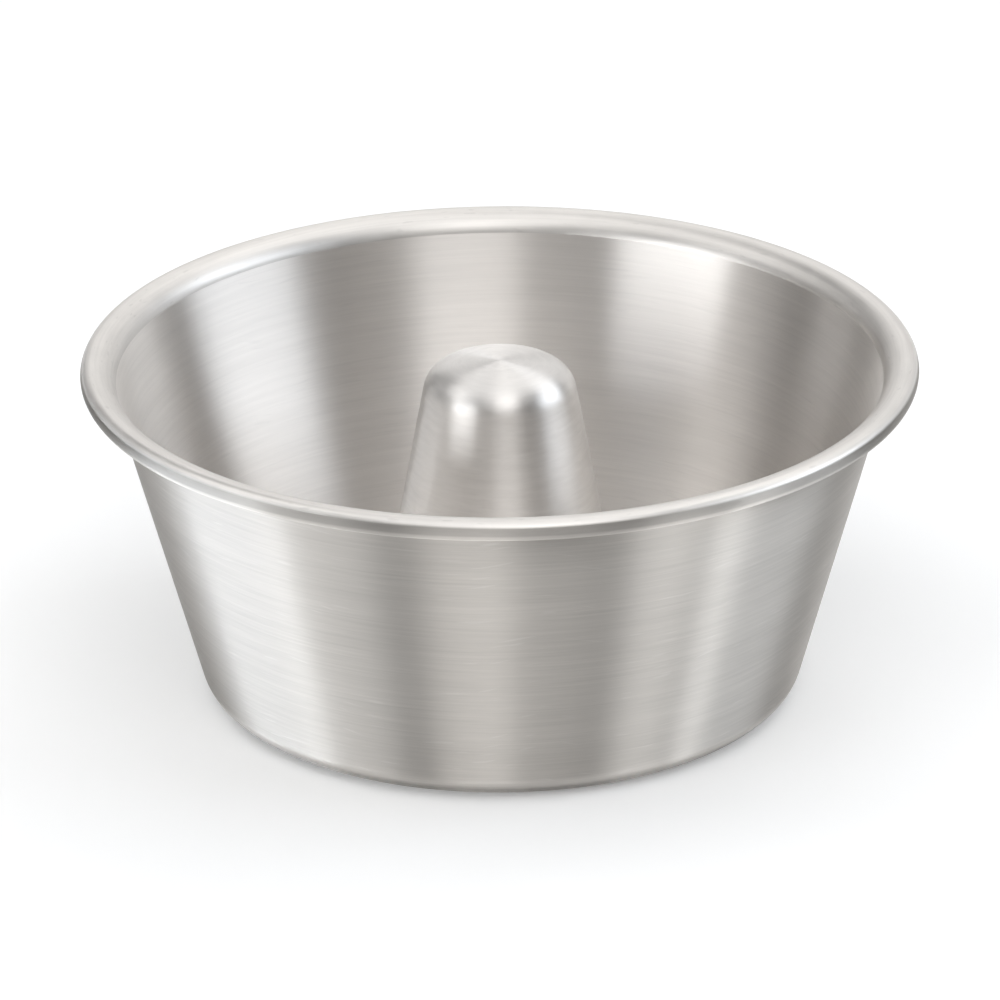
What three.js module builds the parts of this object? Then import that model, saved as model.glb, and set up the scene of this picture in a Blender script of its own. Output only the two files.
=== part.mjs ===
// A mini flan mould in thin aluminium sheet, in three pieces.
// The body is a tapered bowl whose top edge is rolled outwards over a wire.
// The centre cone stands in a hole in the body's base, and a folded lock seam joins the two.
// Millimetres, +Z up. The origin is on the axis, in the plane that the base stands on.

import * as THREE from "three";

// Outline of the bowl
const RIM_DIAMETER = 100; // over the rolled rim
const HEIGHT = 41.8; // from the table to the top of the rim
const BASE_DIAMETER = 70.7; // where the wall's outer line would meet the table
const BODY_SHEET = 0.6; // thickness of the body's sheet
const BASE_CORNER_RADIUS = 3.7; // inside the bowl, between the wall and the base

// Rolled rim
const RIM_WIRE = 1.2; // diameter of the wire inside the roll
const WIRE_CLEARANCE = 0.08; // between the wire and the sheet rolled round it
const RIM_LEAD = 1.8; // by how much the wall's turn into the roll is wider than the roll
const ROLL_EDGE_GAP = 0.5; // from the rolled sheet's free edge to the turn above it
const WIRE_BUTT_GAP = 0.5; // between the two ends of the wire

// Centre cone
const CONE_SHEET = 0.6; // thickness of the cone's sheet
const CONE_BELOW_RIM = 0.3; // from the top of the rim down to the top of the cone
const CONE_TOP_DIAMETER = 17; // where the cone's side would reach the height of its top
const CONE_FOOT_DIAMETER = 31; // where the cone's side meets the level of the seat round it
const CONE_DOME_RADIUS = 36;
const CONE_SHOULDER_RADIUS = 3.9;

// Lock seam between the cone and the body, in a raised seat under the base
const SEAM_GAP = 0.1; // between one layer of the seam and the next
const SEAM_LIFT = 0.5; // from the table up to the seam
const SEAM_HOOK = 2.5; // width over which the two folded edges hold each other
const SEAT_MARGIN = 0.6; // from the seam's outer edge to the start of the seat's slope
const SEAT_BEND_RADIUS = 2.5; // middle of the sheet, at the top and the foot of the slope

// Facets
const TURN_SEGMENTS = 60; // round the axis
const BEND_SAG = 0.045; // how far a facet may lie inside the bend that it stands for
const BEND_STEP = Math.PI / 6; // largest angle that one facet of a bend may take
const WIRE_SIDES = 10;

const QUARTER = Math.PI / 2;
const HALF = Math.PI;

const at = (radius, height) => new THREE.Vector2(radius, height);

// A sheet in section is a row of stations. Each holds a point on the middle of the sheet and
// the direction across it, to the left of the way along the row.

function bend(centre, radius, from, to) {
  const step = Math.min(2 * Math.acos(1 - BEND_SAG / radius), BEND_STEP);
  const steps = Math.ceil(Math.abs(to - from) / step);
  const left = to > from ? -1 : 1;
  return Array.from({ length: steps + 1 }, (_, i) => {
    const angle = from + ((to - from) * i) / steps;
    const outward = at(Math.cos(angle), Math.sin(angle));
    return {
      point: outward.clone().multiplyScalar(radius).add(centre),
      across: outward.multiplyScalar(left),
    };
  });
}

function edge(point, across) {
  return [{ point, across }];
}

// Both faces of a sheet as one outline: along the right-hand face and back along the left-hand one.
function sheetOutline(stations, thickness) {
  const face = (offset) =>
    stations.map(({ point, across }) => point.clone().addScaledVector(across, offset));
  return [...face(-thickness / 2), ...face(thickness / 2).reverse()];
}

function turned(outline) {
  return new THREE.LatheGeometry(outline, TURN_SEGMENTS).rotateX(QUARTER);
}

// Heights of the seam's four layers, each at the middle of its sheet, from the table up
const coneFlangeHeight = SEAM_LIFT + CONE_SHEET / 2;
const layerStep = (CONE_SHEET + BODY_SHEET) / 2 + SEAM_GAP;
const bodyHookHeight = coneFlangeHeight + layerStep;
const coneHookHeight = bodyHookHeight + layerStep;
const seatHeight = coneHookHeight + layerStep;

// Side of the cone, at the middle of its sheet
const coneTop = HEIGHT - CONE_BELOW_RIM;
const seatTop = seatHeight + BODY_SHEET / 2;
const coneSlope = (CONE_FOOT_DIAMETER - CONE_TOP_DIAMETER) / 2 / (coneTop - seatTop);
const coneTaper = Math.atan(coneSlope);

function coneSideRadius(height) {
  const face = CONE_TOP_DIAMETER / 2 + (coneTop - height) * coneSlope;
  return face - CONE_SHEET / 2 / Math.cos(coneTaper);
}

// Folds of the seam. The cone's foot turns round the same centre as the fold in the body's hole.
const coneFootBend = coneHookHeight - coneFlangeHeight;
const foldRadius = layerStep;
const bodyFoldAt = at(
  coneSideRadius(coneHookHeight) + coneFootBend / Math.cos(coneTaper),
  coneHookHeight,
);
const coneFoldAt = at(bodyFoldAt.x + SEAM_HOOK, bodyHookHeight);

// Centre of the roll, and of the wider bend that leads the wall into it
const rollRadius = RIM_WIRE / 2 + WIRE_CLEARANCE + BODY_SHEET / 2;
const rollFace = rollRadius + BODY_SHEET / 2;
const rollAt = at(RIM_DIAMETER / 2 - rollFace, HEIGHT - rollFace);
const leadRadius = rollRadius + RIM_LEAD;
const leadFace = leadRadius - BODY_SHEET / 2;
const leadAt = at(rollAt.x, rollAt.y - RIM_LEAD);

// The wall leans so that its outer line runs from the base to touch the inner face of that bend.
function wallLean() {
  const run = leadAt.clone().sub(at(BASE_DIAMETER / 2, 0));
  return Math.acos(leadFace / run.length()) - run.angle();
}

function bodyStations() {
  const lean = wallLean();

  // The roll's free edge stops just short of the inner face of the bend above it.
  const reach = leadFace - ROLL_EDGE_GAP;
  const rollTurn = (reach ** 2 - rollFace ** 2 - RIM_LEAD ** 2) / (2 * rollFace * RIM_LEAD);
  const rollEnd = -HALF - Math.asin(rollTurn);

  const cornerRadius = BASE_CORNER_RADIUS + BODY_SHEET / 2;
  const cornerHeight = cornerRadius + BODY_SHEET / 2;
  const cornerAt = at(
    BASE_DIAMETER / 2 + cornerHeight * Math.tan(lean) - cornerHeight / Math.cos(lean),
    cornerHeight,
  );

  const rise = seatHeight - BODY_SHEET / 2;
  const slope = Math.acos(1 - rise / (2 * SEAT_BEND_RADIUS));
  const seamEdge = coneFoldAt.x + foldRadius + CONE_SHEET / 2;
  const seatEdge = seamEdge + SEAT_MARGIN;
  const seatFoot = seatEdge + 2 * SEAT_BEND_RADIUS * Math.sin(slope);

  return [
    ...bend(rollAt, rollRadius, rollEnd, 0),
    ...bend(rollAt, rollRadius, 0, QUARTER).slice(1),
    ...bend(leadAt, leadRadius, QUARTER, HALF - lean).slice(1),
    ...bend(cornerAt, cornerRadius, -lean, -QUARTER),
    ...bend(
      at(seatFoot, BODY_SHEET / 2 + SEAT_BEND_RADIUS),
      SEAT_BEND_RADIUS,
      -QUARTER,
      -QUARTER - slope,
    ),
    ...bend(
      at(seatEdge, seatHeight - SEAT_BEND_RADIUS),
      SEAT_BEND_RADIUS,
      QUARTER - slope,
      QUARTER,
    ).slice(1),
    ...bend(bodyFoldAt, foldRadius, QUARTER, HALF + QUARTER),
    ...edge(at(coneFoldAt.x, bodyHookHeight), at(0, 1)),
  ];
}

function coneStations() {
  const domeRadius = CONE_DOME_RADIUS - CONE_SHEET / 2;
  const domeAt = at(0, coneTop - CONE_DOME_RADIUS);
  const shoulderRadius = CONE_SHOULDER_RADIUS - CONE_SHEET / 2;

  // The shoulder touches the dome and the side, so its centre is where a line parallel to the side
  // crosses a circle round the dome's centre.
  const lineRadius = coneSideRadius(domeAt.y) - shoulderRadius / Math.cos(coneTaper);
  const reach = domeRadius - shoulderRadius;
  const spread = 1 + coneSlope ** 2;
  const above =
    (lineRadius * coneSlope + Math.sqrt(spread * reach ** 2 - lineRadius ** 2)) / spread;
  const shoulderAt = at(lineRadius - above * coneSlope, domeAt.y + above);
  const shoulderStart = Math.atan2(above, shoulderAt.x);

  return [
    ...bend(domeAt, domeRadius, QUARTER, shoulderStart),
    ...bend(shoulderAt, shoulderRadius, shoulderStart, coneTaper).slice(1),
    ...bend(bodyFoldAt, coneFootBend, HALF + coneTaper, HALF + QUARTER),
    ...bend(coneFoldAt, foldRadius, -QUARTER, QUARTER),
    ...edge(at(bodyFoldAt.x, coneHookHeight), at(0, -1)),
  ];
}

function bodyGeometry() {
  const outline = sheetOutline(bodyStations(), BODY_SHEET);
  return turned([...outline, outline[0]]);
}

function coneGeometry() {
  return turned(sheetOutline(coneStations(), CONE_SHEET));
}

// The wire's centreline, from one end round the rim to the other, with its ends at the back.
class WireLine extends THREE.Curve {
  getPoint(share, target = new THREE.Vector3()) {
    const opening = WIRE_BUTT_GAP / rollAt.x;
    const angle = QUARTER + opening / 2 + share * (2 * HALF - opening);
    return target.set(rollAt.x * Math.cos(angle), rollAt.x * Math.sin(angle), 0);
  }
}

function wireGeometry() {
  const section = new THREE.Shape().absarc(0, 0, RIM_WIRE / 2, 0, 2 * HALF);
  return new THREE.ExtrudeGeometry(section, {
    extrudePath: new WireLine(),
    steps: TURN_SEGMENTS,
    curveSegments: WIRE_SIDES / 2,
  });
}

const brushedAluminium = new THREE.MeshStandardMaterial({
  color: 0xc8c6c2,
  roughness: 0.38,
  metalness: 1,
});
const polishedAluminium = new THREE.MeshStandardMaterial({
  color: 0xd2d1ce,
  roughness: 0.24,
  metalness: 1,
});
const galvanisedSteel = new THREE.MeshStandardMaterial({
  color: 0xa9abad,
  roughness: 0.5,
  metalness: 1,
});

function piece(name, geometry, material) {
  const mesh = new THREE.Mesh(geometry, material);
  mesh.name = name;
  return mesh;
}

const mould = new THREE.Group();
mould.add(piece("mould_body", bodyGeometry(), brushedAluminium));
mould.add(piece("centre_cone", coneGeometry(), polishedAluminium));

const rimWire = piece("rim_wire", wireGeometry(), galvanisedSteel);
rimWire.position.z = rollAt.y;
mould.add(rimWire);

export default mould;
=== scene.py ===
# %% [markdown]
# # A mini flan mould in brushed aluminium
#
# The mould is a tapered bowl pressed from thin aluminium sheet. Its top edge is rolled outwards
# over a wire, and a closed cone stands in the middle, so that heat reaches the centre of the flan.
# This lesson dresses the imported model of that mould. It draws each sheet once in section, spins it
# round the axis, gives it its thickness, and then works on what makes it look like aluminium.
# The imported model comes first, because every piece here has to sit exactly where it says.

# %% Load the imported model
import math

import bmesh
import bpy
from mathutils import Matrix, Quaternion, Vector


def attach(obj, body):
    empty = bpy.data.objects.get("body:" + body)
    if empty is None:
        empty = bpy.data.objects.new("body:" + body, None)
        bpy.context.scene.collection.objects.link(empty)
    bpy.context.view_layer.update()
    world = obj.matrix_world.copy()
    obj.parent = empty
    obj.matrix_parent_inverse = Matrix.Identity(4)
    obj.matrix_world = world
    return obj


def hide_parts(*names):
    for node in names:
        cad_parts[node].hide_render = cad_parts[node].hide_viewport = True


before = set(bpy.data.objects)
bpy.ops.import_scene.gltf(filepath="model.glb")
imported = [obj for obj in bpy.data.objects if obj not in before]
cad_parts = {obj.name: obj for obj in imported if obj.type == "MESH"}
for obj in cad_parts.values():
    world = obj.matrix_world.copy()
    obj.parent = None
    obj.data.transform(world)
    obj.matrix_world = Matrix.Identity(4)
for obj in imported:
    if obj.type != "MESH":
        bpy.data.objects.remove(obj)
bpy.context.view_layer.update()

MM = 0.001
print("nodes of the packed model:", sorted(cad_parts))

# %% [markdown]
# ## Drawing a sheet in section
#
# Pressed sheet is nothing but straight runs and round bends. A lathe outline could be typed in as a
# long list of points, but then no bend would keep its radius when a size changes. So a line grows
# from one vertex instead: the spin operator carries its tip round the centre of a bend, and the
# extrude operator takes it along a straight run. The section lies in the XZ plane, in metres.
# A long straight run gets a point near each end. Without these holding points, smooth shading would
# bend the light over the whole run instead of only next to the bend.

# %% Helpers for a section line
BEND_STEP = math.radians(7)
HOLD = 0.35 * MM


def spot(radius, height):
    return Vector((radius, 0, height)) * MM


def around(centre, radius, degrees):
    angle = math.radians(degrees)
    return centre + radius * MM * Vector((math.cos(angle), 0, math.sin(angle)))


def start_line(first):
    line = bmesh.new()
    return line, line.verts.new(first)


def bend(line, tip, centre, degrees):
    angle = math.radians(degrees)
    steps = math.ceil(abs(angle) / BEND_STEP)
    made = bmesh.ops.spin(line, geom=[tip], cent=centre, axis=(0, -1, 0), dvec=(0, 0, 0),
                          angle=angle, steps=steps, use_merge=False, use_duplicate=False)
    return made["geom_last"][0]


def run(line, tip, end):
    length = (end - tip.co).length
    shares = [HOLD / length, 1 - HOLD / length, 1] if length > 4 * HOLD else [1]
    start = tip.co.copy()
    for share in shares:
        tip = bmesh.ops.extrude_vert_indiv(line, verts=[tip])["verts"][0]
        tip.co = start.lerp(end, share)
    return tip


def drawn_length(line):
    return sum(edge.calc_length() for edge in line.edges)


# %% [markdown]
# ## From the line to a sheet
#
# Before the line is spun, each of its points stores how far along the sheet it lies. The spin copies
# that number round the ring, so a finish can follow the sheet later on, over the rim and down the
# wall, without any unwrapping. Then the spin closes on itself with use_merge, points that meet on
# the axis are merged, and the faces are turned to look away from the sheet. Only then does solidify
# add the thickness, on the side behind the drawn face. Edges that turn by more than SHARP stay crisp.

# %% Helpers for a turned sheet
TURN_STEPS = 240
TOUCHING = 0.001 * MM
SHARP = math.radians(40)
UP = Vector((0, 0, 1))


def mark_distance(line):
    along = line.verts.layers.float.new("along")
    line.verts.ensure_lookup_table()
    distance = 0
    for before, after in zip(line.verts[:-1], line.verts[1:]):
        distance += (after.co - before.co).length
        after[along] = distance
    return distance


def spin_round(line, angle, close):
    bmesh.ops.spin(line, geom=line.verts[:] + line.edges[:], cent=(0, 0, 0), axis=UP,
                   dvec=(0, 0, 0), angle=angle, steps=TURN_STEPS, use_merge=close,
                   use_duplicate=False)


def thicken(line, thickness, seen_from):
    bmesh.ops.remove_doubles(line, verts=line.verts[:], dist=TOUCHING)
    bmesh.ops.recalc_face_normals(line, faces=line.faces[:])
    nearest = min(line.faces, key=lambda face: (face.calc_center_median() - seen_from).length)
    if nearest.normal.dot(UP) < 0:
        bmesh.ops.reverse_faces(line, faces=line.faces[:])
    bmesh.ops.solidify(line, geom=line.faces[:], thickness=thickness)


def finished(line, name):
    for face in line.faces:
        face.smooth = True
    for edge in line.edges:
        edge.smooth = edge.calc_face_angle(0) < SHARP
    mesh = bpy.data.meshes.new(name)
    line.to_mesh(mesh)
    line.free()
    piece = bpy.data.objects.new(name, mesh)
    bpy.context.scene.collection.objects.link(piece)
    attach(piece, "root")
    low, high = (Vector(corner) for corner in (piece.bound_box[0], piece.bound_box[6]))
    print(name, len(mesh.polygons), "faces, size in mm", [round(s / MM, 2) for s in high - low])
    return piece


# %% [markdown]
# ## The bowl
#
# On the real mould one disc of sheet makes the rim, the wall and the base. The line here follows the
# face that ends up inside the bowl. It starts at the free edge under the rim, goes round the roll,
# turns down into the wall with a softer bend, rounds the corner and crosses the base. There it climbs
# to the seat of the cone and folds back under it, as half of the seam that holds the cone. Sizes are in
# mm. The wall has to touch both the bend under the rim and the corner, and its lean follows from that.

# %% Sizes of the bowl
RIM_RADIUS = 50
HEIGHT = 41.8
BASE_RADIUS = 35.35
SHEET = 0.6
WIRE_RADIUS = 0.6
WIRE_ROOM = 0.08
ROLL = WIRE_RADIUS + WIRE_ROOM + SHEET
LEAD_EASE = 1.8
LEAD = ROLL + LEAD_EASE
ROLL_SHARE = 258
CORNER = 3.7
roll_at = spot(RIM_RADIUS - ROLL, HEIGHT - ROLL)
lead_at = spot(RIM_RADIUS - ROLL, HEIGHT - LEAD)

wall_run = lead_at - spot(BASE_RADIUS, 0)
lean = math.degrees(math.acos((LEAD - SHEET) * MM / wall_run.length)
                    - math.atan2(wall_run.z, wall_run.x))
corner_height = CORNER + SHEET
corner_out = corner_height * (1 - math.sin(math.radians(lean))) / math.cos(math.radians(lean))
corner_at = spot(BASE_RADIUS - corner_out, corner_height)
print("the wall leans by", round(lean, 2), "degrees")

# %% [markdown]
# ## The seam at the cone's foot
#
# The cone is a second pressing. Its foot goes down through the hole in the bowl, turns out under it
# and folds back into the bowl's own hook, so four layers of sheet lie on each other. Both lines need
# the same two fold centres, so these are worked out once, from the layers up.

# %% Sizes of the cone and the seam
CONE_TOP = 41.5
CONE_TOP_RADIUS = 8.5
CONE_FOOT_RADIUS = 15.5
DOME = 36
SHOULDER = 3.9
SEAM_GAP = 0.1
LAYER = SHEET + SEAM_GAP
FOOT_BEND = 2 * LAYER
SEAM_LIFT = 0.5
HOOK = 2.5
SEAT_BEND = 2.5
SEAT_MARGIN = 0.6

flange = SEAM_LIFT + SHEET / 2
body_hook, cone_hook, seat = (flange + LAYER * layer for layer in (1, 2, 3))
taper_slope = (CONE_FOOT_RADIUS - CONE_TOP_RADIUS) / (CONE_TOP - seat - SHEET / 2)
taper = math.degrees(math.atan(taper_slope))
foot_offset = (FOOT_BEND - SHEET / 2) / math.cos(math.radians(taper))
body_fold_at = spot(CONE_TOP_RADIUS + (CONE_TOP - cone_hook) * taper_slope + foot_offset, cone_hook)
cone_fold_at = Vector((body_fold_at.x + HOOK * MM, 0, body_hook * MM))

slope = math.degrees(math.acos(1 - (seat - SHEET / 2) / (2 * SEAT_BEND)))
seat_edge = cone_fold_at.x / MM + LAYER + SHEET / 2 + SEAT_MARGIN
seat_foot = seat_edge + 2 * SEAT_BEND * math.sin(math.radians(slope))
print("the seam's layers lie at", [round(h, 2) for h in (flange, body_hook, cone_hook, seat)], "mm")

# %% [markdown]
# With every centre known, the bowl's line can be drawn from the rim to the hook. The lengths on the way
# are kept, because the finishes need to know where the rim, the wall and the corner end. The face inside
# the bowl is the drawn one, so the thickness is added on the outside.

# %% Draw and spin the bowl
line, tip = start_line(around(roll_at, ROLL, 90 - ROLL_SHARE))
tip = bend(line, tip, roll_at, ROLL_SHARE)
tip = bend(line, tip, lead_at, 90 - lean)
rim_length = drawn_length(line)
tip = run(line, tip, around(corner_at, CORNER, -lean))
wall_length = drawn_length(line)
tip = bend(line, tip, corner_at, lean - 90)
corner_length = drawn_length(line)
tip = run(line, tip, spot(seat_foot, SHEET))
tip = bend(line, tip, spot(seat_foot, SHEET / 2 + SEAT_BEND), -slope)
tip = bend(line, tip, spot(seat_edge, seat - SEAT_BEND), slope)
tip = run(line, tip, around(body_fold_at, LAYER + SHEET / 2, 90))
tip = bend(line, tip, body_fold_at, 180)
tip = run(line, tip, spot(cone_fold_at.x / MM, body_hook - SHEET / 2))
print("sheet from edge to edge in mm:", round(mark_distance(line) / MM, 1))

spin_round(line, math.tau, True)
thicken(line, SHEET * MM, spot(0, HEIGHT / 2))
bowl = finished(line, "brushed_bowl")
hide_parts("mould_body")

# %% [markdown]
# ## The centre cone
#
# Its line follows the outer face from the pole: a shallow dome, a tighter shoulder, the straight
# tapered side, the foot and the hook. The shoulder touches both the dome and the side, so its centre
# is where a line parallel to the side crosses a circle round the centre of the dome.

# %% Draw and spin the cone
dome_base = CONE_TOP - DOME
side_line = CONE_TOP_RADIUS + DOME * taper_slope - SHOULDER / math.cos(math.radians(taper))
spread = 1 + taper_slope ** 2
climb = (side_line * taper_slope
         + math.sqrt(spread * (DOME - SHOULDER) ** 2 - side_line ** 2)) / spread
shoulder_at = spot(side_line - climb * taper_slope, dome_base + climb)
dome_edge = math.degrees(math.atan2(climb, shoulder_at.x / MM))

line, tip = start_line(spot(0, CONE_TOP))
tip = bend(line, tip, spot(0, dome_base), dome_edge - 90)
dome_length = drawn_length(line)
tip = bend(line, tip, shoulder_at, taper - dome_edge)
shoulder_length = drawn_length(line)
tip = run(line, tip, around(body_fold_at, FOOT_BEND - SHEET / 2, 180 + taper))
tip = bend(line, tip, body_fold_at, 90 - taper)
tip = run(line, tip, around(cone_fold_at, LAYER - SHEET / 2, -90))
tip = bend(line, tip, cone_fold_at, 180)
tip = run(line, tip, spot(body_fold_at.x / MM, cone_hook - SHEET / 2))
print("cone's sheet from pole to edge in mm:", round(mark_distance(line) / MM, 1))

spin_round(line, math.tau, True)
thicken(line, SHEET * MM, spot(0, 2 * CONE_TOP))
cone = finished(line, "centre_cone_polished")
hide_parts("centre_cone")

# %% [markdown]
# ## The wire in the rim
#
# The wire shows only from below, as a dark line in the gap where the sheet's free edge stops. It is a
# disc spun almost all the way round. Its two ends butt at the back with a small gap, and the spin
# leaves both of them open, so they are filled.

# %% Spin the wire
WIRE_GAP = 0.5
WIRE_SIDES = 24
wire_turn = math.tau - WIRE_GAP * MM / roll_at.x
stand_up = Matrix.Rotation(math.pi / 2, 3, "X")
to_the_back = Matrix.Rotation(math.pi / 2 + (math.tau - wire_turn) / 2, 3, "Z")

line = bmesh.new()
bmesh.ops.create_circle(line, segments=WIRE_SIDES, radius=WIRE_RADIUS * MM)
bmesh.ops.rotate(line, verts=line.verts[:], cent=(0, 0, 0), matrix=stand_up)
bmesh.ops.translate(line, verts=line.verts[:], vec=roll_at)
bmesh.ops.rotate(line, verts=line.verts[:], cent=(0, 0, 0), matrix=to_the_back)
spin_round(line, wire_turn, False)
open_ends = [edge for edge in line.edges if edge.is_boundary]
bmesh.ops.holes_fill(line, edges=open_ends, sides=0)
bmesh.ops.recalc_face_normals(line, faces=line.faces[:])
wire = finished(line, "rim_wire_ring")
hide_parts("rim_wire")

# %% [markdown]
# ## Nodes for turned metal
#
# The mould is brushed while it spins, so its lines run round it. A noise texture makes such lines when
# it is stretched: its coordinates change slowly round the axis and fast along the sheet. The direction
# from the axis, made one unit long, gives the way round, and the stored distance gives the way along.
# An image of brushed metal would be the other way, but it would need unwrapping and show a seam.
# Small helpers add a node and fill its sockets, which keeps each finish below short enough to read.

# %% Helpers for nodes
def add(tree, kind, sockets=None, **settings):
    node = tree.nodes.new(kind)
    for name, value in settings.items():
        setattr(node, name, value)
    for name, value in (sockets or {}).items():
        if isinstance(value, bpy.types.NodeSocket):
            tree.links.new(value, node.inputs[name])
        else:
            node.inputs[name].default_value = value
    return node


def remap(tree, value, low, high, to_low, to_high):
    sockets = {"Value": value, "From Min": low, "From Max": high, "To Min": to_low, "To Max": to_high}
    return add(tree, "ShaderNodeMapRange", sockets, clamp=True).outputs[0]


def combine(tree, operation, first, second):
    return add(tree, "ShaderNodeMath", {0: first, 1: second}, operation=operation).outputs[0]


def vectors(tree, operation, sockets):
    return add(tree, "ShaderNodeVectorMath", sockets, operation=operation).outputs[0]


def blend(tree, factor, first, second):
    node = add(tree, "ShaderNodeMix", {0: factor, 6: first, 7: second}, data_type="RGBA")
    return node.outputs[2]


def metal(red, green, blue):
    return (red, green, blue, 1)


# %% [markdown]
# The next helpers make the patterns. turned_lines gives strokes of any length and fineness. With some
# sway the strokes drift up and down the sheet on their way round, and what was brushing turns into
# slanted scratches. zone is 1 on one stretch of the sheet and fades out at both of its ends.

# %% Helpers for patterns on a turned sheet
DRIFT_CELLS = 12
NOISE_ROUGHNESS = 0.6


def sheet_distance(tree):
    return add(tree, "ShaderNodeAttribute", attribute_name="along").outputs["Fac"]


def way_round(tree, cells):
    place = add(tree, "ShaderNodeTexCoord").outputs["Object"]
    level = vectors(tree, "MULTIPLY", {0: place, 1: (1, 1, 0)})
    return vectors(tree, "SCALE", {0: vectors(tree, "NORMALIZE", {0: level}), "Scale": cells / math.tau})


def noise(tree, where, detail):
    sockets = {"Vector": where, "Scale": 1.0, "Detail": detail, "Roughness": NOISE_ROUGHNESS}
    return add(tree, "ShaderNodeTexNoise", sockets).outputs["Fac"]


def turned_lines(tree, cells_round, cells_per_metre, detail, sway=0.0):
    distance = sheet_distance(tree)
    if sway:
        drift = remap(tree, noise(tree, way_round(tree, DRIFT_CELLS), 1.0), 0, 1, -sway, sway)
        distance = combine(tree, "ADD", distance, drift)
    steps = combine(tree, "MULTIPLY", distance, cells_per_metre)
    shift = add(tree, "ShaderNodeCombineXYZ", {"Z": steps}).outputs[0]
    return noise(tree, vectors(tree, "ADD", {0: way_round(tree, cells_round), 1: shift}), detail)


def zone(tree, start, end, fade):
    distance = sheet_distance(tree)
    after = remap(tree, distance, start - fade, start, 0, 1)
    before = remap(tree, distance, end, end + fade, 1, 0)
    return combine(tree, "MULTIPLY", after, before)


# %% [markdown]
# All the finishes use patterns in the same three ways, so each way is a helper too. layered adds up
# patterns by their shares. toned spreads a pattern over two colours, from just below to just above its
# middle, where a noise has most of its values. scratched lets only the highest peaks through: with a
# noise without detail these are few, thin and apart from each other, as scratches are.

# %% Helpers for colours from patterns
TONE_SPAN = (0.35, 0.65)
STROKE_SPAN = (0.3, 0.7)
PEAKS = (0.74, 0.82)


def layered(tree, first, *others):
    total = combine(tree, "MULTIPLY", *first)
    for other in others:
        total = combine(tree, "ADD", total, combine(tree, "MULTIPLY", *other))
    return total


def toned(tree, tone, dark, light):
    return blend(tree, remap(tree, tone, *TONE_SPAN, 0, 1), dark, light)


def scratched(tree, colour, scratch, strength, cells_round, cells_per_metre, sway):
    lines = turned_lines(tree, cells_round, cells_per_metre, 0.0, sway)
    return blend(tree, remap(tree, lines, *PEAKS, 0, strength), colour, scratch)


# %% [markdown]
# Every metal here is one Principled shader. Anisotropy stretches its highlight, and the radial tangent
# tells it which way is round. The rotation of a quarter turns the stretch across the lines.
# Bump adds what the lines do to the surface itself. Its depth is a few thousandths of a millimetre.

# %% Helpers for a metal finish
ACROSS_THE_LINES = 0.25


def metal_finish(name, anisotropic):
    finish = bpy.data.materials.new(name)
    finish.use_nodes = True
    tree = finish.node_tree
    shader = tree.nodes["Principled BSDF"]
    shader.inputs["Metallic"].default_value = 1
    shader.inputs["Anisotropic"].default_value = anisotropic
    shader.inputs["Anisotropic Rotation"].default_value = ACROSS_THE_LINES
    tangent = add(tree, "ShaderNodeTangent", direction_type="RADIAL", axis="Z")
    tree.links.new(tangent.outputs[0], shader.inputs["Tangent"])
    return finish, tree


def connect(finish, colour, roughness, height, depth):
    tree = finish.node_tree
    shader = tree.nodes["Principled BSDF"]
    tree.links.new(colour, shader.inputs["Base Color"])
    tree.links.new(roughness, shader.inputs["Roughness"])
    bump = add(tree, "ShaderNodeBump", {"Height": height, "Strength": 1.0, "Distance": depth})
    tree.links.new(bump.outputs[0], shader.inputs["Normal"])
    print(finish.name, "has", len(tree.nodes), "nodes")


# %% [markdown]
# ## Brushed wall, outside
#
# Brushing scatters light across its lines and hardly along them, which is why the wall shows upright
# bands of light. Anisotropy does that with one number. Three sizes of line lie on top of each other:
# strokes about 12 mm long, hairs a fifth of a millimetre wide, and bands of 3 mm from the pressure of
# the brush. A few slanted scratches come from stacking.
# The ring that the mould stands on is ironed smooth by the press and scuffed by tables. Its dark colour,
# which reaches up round the corner, is partly those scuffs and partly painted shade for the contact shadow
# that the corner reflects. The outward face of the roll is painted darker, as painted shade for the
# shadowed wall and floor that it reflects, and the outside as a whole is coloured darker than the inside,
# as painted shade for its dark bands. The two angles below say how much of the roll is burnished and how
# much carries the painted shade.

# %% Marks on the outside
BURNISHED = 62
# Painted shade: the outward face of the roll is coloured darker, standing in for the shadowed wall and
# floor that it reflects.
SHADED_ROLL = 42
SHADED_ROLL_FADE = 0.22 * MM
SHADED_ROLL_STRENGTH = 0.75
SHADED_ROLL_METAL = metal(0.40, 0.381, 0.358)
# From here the dark colour of the standing ring reaches up round the corner: partly scuffs, partly painted
# shade.
SCUFF_AND_SHADE_START = wall_length + 1.8 * MM
SCUFF_AND_SHADE_FADE = 0.8 * MM
RUB_SPAN = (0.3, 0.6)
RUB_STRENGTH = (0.75, 1)
BASE_REACH = corner_length + 3 * MM
burnish_start = ROLL * MM * math.radians(ROLL_SHARE - BURNISHED)
shaded_roll_start = burnish_start - ROLL * MM * math.radians(SHADED_ROLL)


def brushed_tone(tree):
    strokes = turned_lines(tree, cells_round=24, cells_per_metre=2600, detail=3.0)
    hairs = turned_lines(tree, cells_round=12, cells_per_metre=5200, detail=1.0)
    bands = turned_lines(tree, cells_round=5, cells_per_metre=300, detail=1.0)
    return strokes, layered(tree, (strokes, 0.5), (hairs, 0.25), (bands, 0.25))


# Mask of the standing ring's dark colour: scuffs, and painted shade of the contact shadow round the corner.
def scuffs_and_painted_shade(tree):
    base = zone(tree, SCUFF_AND_SHADE_START, BASE_REACH, SCUFF_AND_SHADE_FADE)
    rubs = turned_lines(tree, cells_round=90, cells_per_metre=900, detail=2.0)
    return combine(tree, "MULTIPLY", base, remap(tree, rubs, *RUB_SPAN, *RUB_STRENGTH))


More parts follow.
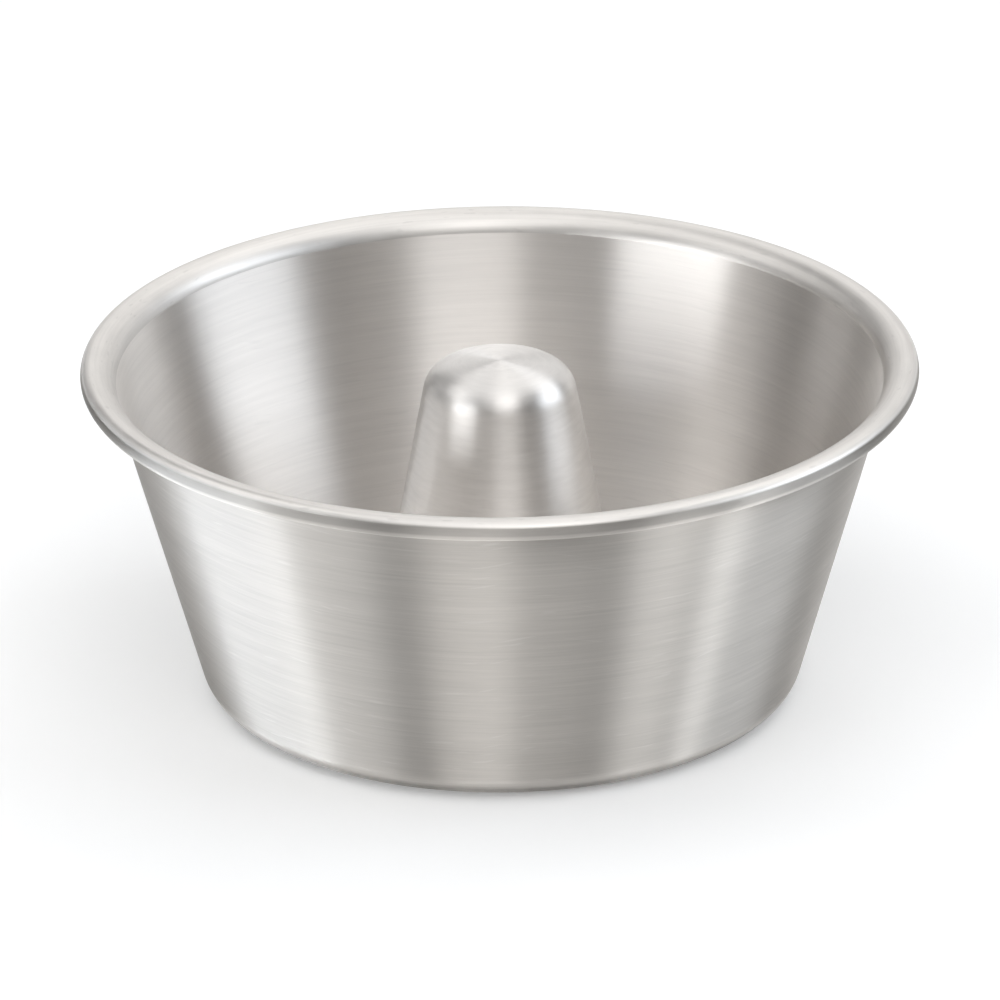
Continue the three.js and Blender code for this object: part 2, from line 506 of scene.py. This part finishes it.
# Blends the painted shade of the roll's outward face over a colour.
def with_painted_roll_shade(tree, colour):
    face = zone(tree, shaded_roll_start, burnish_start, SHADED_ROLL_FADE)
    return blend(tree, combine(tree, "MULTIPLY", face, SHADED_ROLL_STRENGTH), colour, SHADED_ROLL_METAL)


# This span of the sheet is where the outward face of the roll gets its painted shade.
print("dull from", round(shaded_roll_start / MM, 2), "to", round(burnish_start / MM, 2), "mm along the sheet")

# %% Brushed finish of the outside
# Painted shade: the outside is coloured far darker than the inside of the same sheet, standing in for its
# dark bands.
SHADED_OUTSIDE_METAL = metal(0.495, 0.472, 0.444), metal(0.575, 0.548, 0.516)
BRIGHT_SCRATCH = metal(0.84, 0.82, 0.80)
# Dark colour of the standing ring: scuffs, and painted shade for the contact shadow up the corner.
SCUFF_AND_SHADE_METAL = metal(0.30, 0.286, 0.268)
OUTSIDE_ROUGHNESS = (0.53, 0.56)
IRON_START = wall_length + 1.2 * MM
IRON_FADE = 1.2 * MM
IRONED_SMOOTHER = 0.27
SCUFFED_ROUGHER = 0.12

brushed, tree = metal_finish("brushed_aluminium", anisotropic=1.0)
strokes, tone = brushed_tone(tree)
colour = toned(tree, tone, *SHADED_OUTSIDE_METAL)
colour = scratched(tree, colour, BRIGHT_SCRATCH, strength=0.12,
                   cells_round=60, cells_per_metre=2600, sway=4 * MM)
# Darkens the standing ring and the corner: scuffs, and painted shade of the contact shadow.
scuffs_and_shade = scuffs_and_painted_shade(tree)
colour = blend(tree, scuffs_and_shade, colour, SCUFF_AND_SHADE_METAL)
# Painted shade on the outward face of the roll.
colour = with_painted_roll_shade(tree, colour)

ironed = zone(tree, IRON_START, BASE_REACH, IRON_FADE)
roughness = remap(tree, strokes, *STROKE_SPAN, *OUTSIDE_ROUGHNESS)
roughness = combine(tree, "SUBTRACT", roughness, combine(tree, "MULTIPLY", ironed, IRONED_SMOOTHER))
roughness = combine(tree, "ADD", roughness, combine(tree, "MULTIPLY", scuffs_and_shade, SCUFFED_ROUGHER))
connect(brushed, colour, roughness, tone, depth=0.007 * MM)
bowl.data.materials.append(brushed)

# %% [markdown]
# ## Burnished rim
#
# The rim is closed by a tool that presses on its top while the mould turns, which smooths the brushing
# away. So it has short, soft reflections instead of bands, and only faint lines and rubbed patches. It is
# a second material on the same piece. The stored distance says where the pressed part starts, and the
# painted shade on the outward face of the roll fades into it.

# %% Burnished finish of the rim
RIM_METAL = metal(0.73, 0.705, 0.676), metal(0.81, 0.782, 0.75)
RIM_NICK = metal(0.52, 0.50, 0.48)
RIM_ROUGHNESS = (0.42, 0.47)

burnished, tree = metal_finish("burnished_rim", anisotropic=0.2)
lines = turned_lines(tree, cells_round=20, cells_per_metre=2600, detail=2.0)
rubbed = turned_lines(tree, cells_round=70, cells_per_metre=500, detail=3.0)
tone = layered(tree, (lines, 0.6), (rubbed, 0.4))
colour = toned(tree, tone, *RIM_METAL)
colour = scratched(tree, colour, RIM_NICK, strength=0.25,
                   cells_round=160, cells_per_metre=2400, sway=1 * MM)
# Painted shade on the outward face of the roll.
colour = with_painted_roll_shade(tree, colour)
roughness = remap(tree, rubbed, *STROKE_SPAN, *RIM_ROUGHNESS)
connect(burnished, colour, roughness, tone, depth=0.006 * MM)
bowl.data.materials.append(burnished)

# %% [markdown]
# ## Brushed wall, inside
#
# The inside was drawn over a smooth punch and gets a lighter brushing, so it is finer than the outside and
# its bands are narrower. Its colour is far lighter than the outside's, which is painted darker as painted
# shade for the outside's dark bands. It is a third material, with the same strokes as the outside.

# %% Brushed finish of the inside
INSIDE_METAL = metal(0.88, 0.849, 0.817), metal(0.95, 0.917, 0.883)
INSIDE_SCRATCH = metal(0.70, 0.68, 0.66)
INSIDE_ROUGHNESS = (0.40, 0.43)

inside, tree = metal_finish("brushed_inside", anisotropic=1.0)
strokes, tone = brushed_tone(tree)
colour = toned(tree, tone, *INSIDE_METAL)
colour = scratched(tree, colour, INSIDE_SCRATCH, strength=0.15,
                   cells_round=50, cells_per_metre=2400, sway=3 * MM)
roughness = remap(tree, strokes, *STROKE_SPAN, *INSIDE_ROUGHNESS)
connect(inside, colour, roughness, tone, depth=0.007 * MM)
bowl.data.materials.append(inside)

# %% [markdown]
# The three finishes are on the bowl, but every face still wears the first one. Faces could be picked by
# hand in edit mode, which would be lost when a size changes. So each face is asked instead: it is inside
# when it looks up more than it looks away from the axis, and it is rim when it lies between the start of
# the burnished part and the end of the bend below it.

# %% Give each face of the bowl its finish
OUTSIDE, RIM, INSIDE = range(3)
RIM_SLACK = 0.1 * MM
rim_end = rim_length + RIM_SLACK
along = bowl.data.attributes["along"].data
for face in bowl.data.polygons:
    reach = max(along[corner].value for corner in face.vertices)
    outward = Vector((face.center.x, face.center.y, 0)).normalized()
    looks_in = face.normal.z > face.normal.dot(outward)
    face.material_index = INSIDE if looks_in else OUTSIDE
    if burnish_start < reach < rim_end:
        face.material_index = RIM
for slot, finish in enumerate(bowl.data.materials):
    print(finish.name, "on", sum(face.material_index == slot for face in bowl.data.polygons), "faces")

# %% [markdown]
# ## Cone
#
# The cone is drawn much deeper than the bowl, and it is polished rather than brushed, so its lines are
# long and soft. The dome is stretched the most and turns a little grainy. The side is ironed by the die
# and keeps clearer reflections. So the roughness falls along the sheet, over the shoulder.

# %% Finish of the cone
CONE_METAL = metal(0.81, 0.786, 0.762), metal(0.88, 0.855, 0.83)
CONE_SCRATCH = metal(0.72, 0.70, 0.68)
DOME_ROUGHNESS = 0.47
SIDE_ROUGHNESS = 0.41
LINE_ROUGHNESS = 0.02

polished, tree = metal_finish("polished_aluminium", anisotropic=0.8)
lines = turned_lines(tree, cells_round=16, cells_per_metre=1600, detail=3.0)
clouds = turned_lines(tree, cells_round=9, cells_per_metre=160, detail=2.0)
tone = layered(tree, (lines, 0.7), (clouds, 0.3))
colour = toned(tree, tone, *CONE_METAL)
colour = scratched(tree, colour, CONE_SCRATCH, strength=0.15,
                   cells_round=18, cells_per_metre=2200, sway=2 * MM)
drawn = remap(tree, sheet_distance(tree), dome_length, shoulder_length, DOME_ROUGHNESS, SIDE_ROUGHNESS)
grain = remap(tree, lines, *STROKE_SPAN, -LINE_ROUGHNESS, LINE_ROUGHNESS)
connect(polished, colour, combine(tree, "ADD", drawn, grain), tone, depth=0.006 * MM)
cone.data.materials.append(polished)

# %% [markdown]
# ## Wire
#
# Galvanised wire is grey and dull, with zinc crystals that catch the light one by one. Voronoi cells
# stand for the crystals. The wire has no stored distance, so its pattern reads Object coordinates.

# %% Finish of the wire
CRYSTALS_PER_METRE = 1400.0
GRIME_PER_METRE = 260.0
GRIME_SPAN = (0.5, 0.7)
GRIME_STRENGTH = 0.7
ZINC = metal(0.42, 0.43, 0.44), metal(0.56, 0.57, 0.58)
GRIME = metal(0.25, 0.24, 0.22)
ZINC_ROUGHNESS = (0.38, 0.55)

steel, tree = metal_finish("wire_steel", anisotropic=0.0)
place = add(tree, "ShaderNodeTexCoord").outputs["Object"]
cells = add(tree, "ShaderNodeTexVoronoi", {"Vector": place, "Scale": CRYSTALS_PER_METRE})
crystal = add(tree, "ShaderNodeSeparateColor", {"Color": cells.outputs["Color"]}).outputs[0]
smears = add(tree, "ShaderNodeTexNoise", {"Vector": place, "Scale": GRIME_PER_METRE, "Detail": 4.0})
grime = remap(tree, smears.outputs["Fac"], *GRIME_SPAN, 0, GRIME_STRENGTH)
colour = blend(tree, grime, blend(tree, crystal, *ZINC), GRIME)
roughness = remap(tree, crystal, 0, 1, *ZINC_ROUGHNESS)
connect(steel, colour, roughness, crystal, depth=0.004 * MM)
wire.data.materials.append(steel)

# %% [markdown]
# ## Floor
#
# A mould like this is shown on white paper. The paper is a plain disc, far larger than the picture, with
# a matt colour just below white. A little glow for what the camera and the metal see brings its tone up to
# white without any more light on the mould, and the shadow stays. The paper lies a hair below the base, so
# that the two flat faces never share a plane.

# %% Lay the paper
PAPER_RADIUS = 6
PAPER_SIDES = 96
PAPER_GAP = 0.02 * MM
line = bmesh.new()
bmesh.ops.create_circle(line, cap_ends=True, segments=PAPER_SIDES, radius=PAPER_RADIUS)
bmesh.ops.translate(line, verts=line.verts[:], vec=(0, 0, -PAPER_GAP))
mesh = bpy.data.meshes.new("floor")
line.to_mesh(mesh)
line.free()
floor = bpy.data.objects.new("floor", mesh)
bpy.context.scene.collection.objects.link(floor)
print("paper of", 2 * PAPER_RADIUS, "m across")

# %% Finish of the paper
PAPER_TONE = 0.94
PAPER_ROUGHNESS = 0.9
PAPER_GLOW = 0.14
paper = bpy.data.materials.new("white_paper")
paper.use_nodes = True
tree = paper.node_tree
shader = tree.nodes["Principled BSDF"]
shader.inputs["Base Color"].default_value = (PAPER_TONE, PAPER_TONE, PAPER_TONE, 1)
shader.inputs["Roughness"].default_value = PAPER_ROUGHNESS
shader.inputs["Specular IOR Level"].default_value = 0
ray = add(tree, "ShaderNodeLightPath").outputs
seen = combine(tree, "MAXIMUM", ray["Is Camera Ray"], ray["Is Glossy Ray"])
seen = combine(tree, "MAXIMUM", seen, ray["Is Transmission Ray"])
shader.inputs["Emission Color"].default_value = (1, 1, 1, 1)
tree.links.new(combine(tree, "MULTIPLY", seen, PAPER_GLOW), shader.inputs["Emission Strength"])
floor.data.materials.append(paper)
print("the paper glows by", PAPER_GLOW, "of white")

# %% [markdown]
# ## Light
#
# Metal shows the room more than it shows itself, so the bands on the wall are softboxes and the gaps
# between them. Each box is given by the part of the room that it fills as seen from the mould, in degrees
# round from the camera, up from the table, across and tall, and by how bright its face is next to white
# paper. Its power then follows from its area, so a box can grow or move without a new brightness.

# %% Helper for a softbox
ROOM = 1.0
WHITE = (1, 1, 1)
COOL = (0.86, 0.925, 1.0)
MILD = (0.96, 0.98, 1.0)


def softbox(name, azimuth, elevation, across, tall, brightness, colour=WHITE, reach=ROOM):
    turn, lift = math.radians(azimuth), math.radians(elevation)
    lamp = bpy.data.lights.new(name, "AREA")
    lamp.shape = "RECTANGLE"
    lamp.size = 2 * reach * math.tan(math.radians(across) / 2)
    lamp.size_y = 2 * reach * math.tan(math.radians(tall) / 2)
    lamp.energy = brightness * math.pi * lamp.size * lamp.size_y
    lamp.color = colour
    box = bpy.data.objects.new(name, lamp)
    away = Vector((math.sin(turn) * math.cos(lift), -math.cos(turn) * math.cos(lift), math.sin(lift)))
    box.location = reach * away
    box.rotation_mode = "QUATERNION"
    box.rotation_quaternion = (-away).to_track_quat("-Z", "Y")
    box.visible_camera = False
    bpy.context.scene.collection.objects.link(box)
    print(name, "is", round(lamp.size, 2), "by", round(lamp.size_y, 2), "m,", round(lamp.energy, 2), "W")


# %% [markdown]
# The low, thin boxes stand on the table, and their tops stay below the rim. So they draw the bands on the
# outside and never shine into the bowl. The others stand a metre away: they reach into the bowl and onto
# the cone, and the wide, dim ones behind the mould show in the rim.

# %% Set up the softboxes
TABLE = 0.35
LOW_LIFT = 3.3
LOW_TALL = 6.5


def low_box(name, azimuth, across, brightness, colour=WHITE):
    softbox(name, azimuth, LOW_LIFT, across, LOW_TALL, brightness, colour, reach=TABLE)


low_box("left_low_back", azimuth=-107, across=9, brightness=6.0, colour=COOL)
low_box("left_low", azimuth=-82, across=40, brightness=21.5, colour=COOL)
low_box("front_low", azimuth=-9, across=24, brightness=13.2)
low_box("right_low", azimuth=46, across=18, brightness=16.2, colour=MILD)
low_box("right_low_back", azimuth=66, across=10, brightness=18.5, colour=MILD)
softbox("left", azimuth=-55, elevation=10.5, across=36, tall=13, brightness=6.9, colour=MILD)
softbox("left_high", azimuth=-96, elevation=46, across=34, tall=26, brightness=1.5)
softbox("left_back", azimuth=-124, elevation=23, across=22, tall=22, brightness=0.6)
softbox("front", azimuth=11, elevation=42, across=28, tall=30, brightness=1.9)
softbox("front_high", azimuth=4, elevation=60, across=44, tall=16, brightness=1.5)
softbox("top", azimuth=0, elevation=90, across=62, tall=44, brightness=1.15)
softbox("right", azimuth=89, elevation=27, across=40, tall=22, brightness=3.1, colour=COOL)
softbox("back", azimuth=168, elevation=20, across=80, tall=36, brightness=0.75)
softbox("right_back", azimuth=148, elevation=52, across=76, tall=26, brightness=1.25)

# %% [markdown]
# The rest of the room is nearly dark, because every bit of grey in it would fill the dark bands between
# the softboxes. A little of it keeps the deepest parts from going black.

# %% Dim room
ROOM_LIGHT = 0.05
room = bpy.data.worlds.new("studio")
bpy.context.scene.world = room
room.use_nodes = True
background = room.node_tree.nodes["Background"].inputs
background["Color"].default_value = (1, 1, 1, 1)
background["Strength"].default_value = ROOM_LIGHT
print("room at", ROOM_LIGHT, "of white")

# %% [markdown]
# ## Camera
#
# The photograph is taken with a long lens from about 23 degrees above the table. The narrow view keeps the
# two ends of the rim's ellipse alike. The lens, the distance and a very small roll were worked out from the
# outline of the rim and the base in the picture.

# %% Camera
SENSOR_WIDTH = 36
LENS = 360.2
VIEW_LIFT = math.radians(23.281)
VIEW_ROLL = math.radians(-0.441)
VIEW_DISTANCE = 1.2
aim = Vector((-0.075, 0, 23.3)) * MM
back = Vector((0, -math.cos(VIEW_LIFT), math.sin(VIEW_LIFT)))

camera_data = bpy.data.cameras.new("camera")
camera_data.sensor_width = SENSOR_WIDTH
camera_data.lens = LENS
camera = bpy.data.objects.new("camera", camera_data)
bpy.context.scene.collection.objects.link(camera)
camera.location = aim + VIEW_DISTANCE * back
camera.rotation_mode = "QUATERNION"
camera.rotation_quaternion = (-back).to_track_quat("-Z", "Y") @ Quaternion((0, 0, 1), VIEW_ROLL)
bpy.context.scene.camera = camera
bpy.context.scene.view_settings.view_transform = "Standard"
print("camera at", [round(side, 3) for side in camera.location], "m")
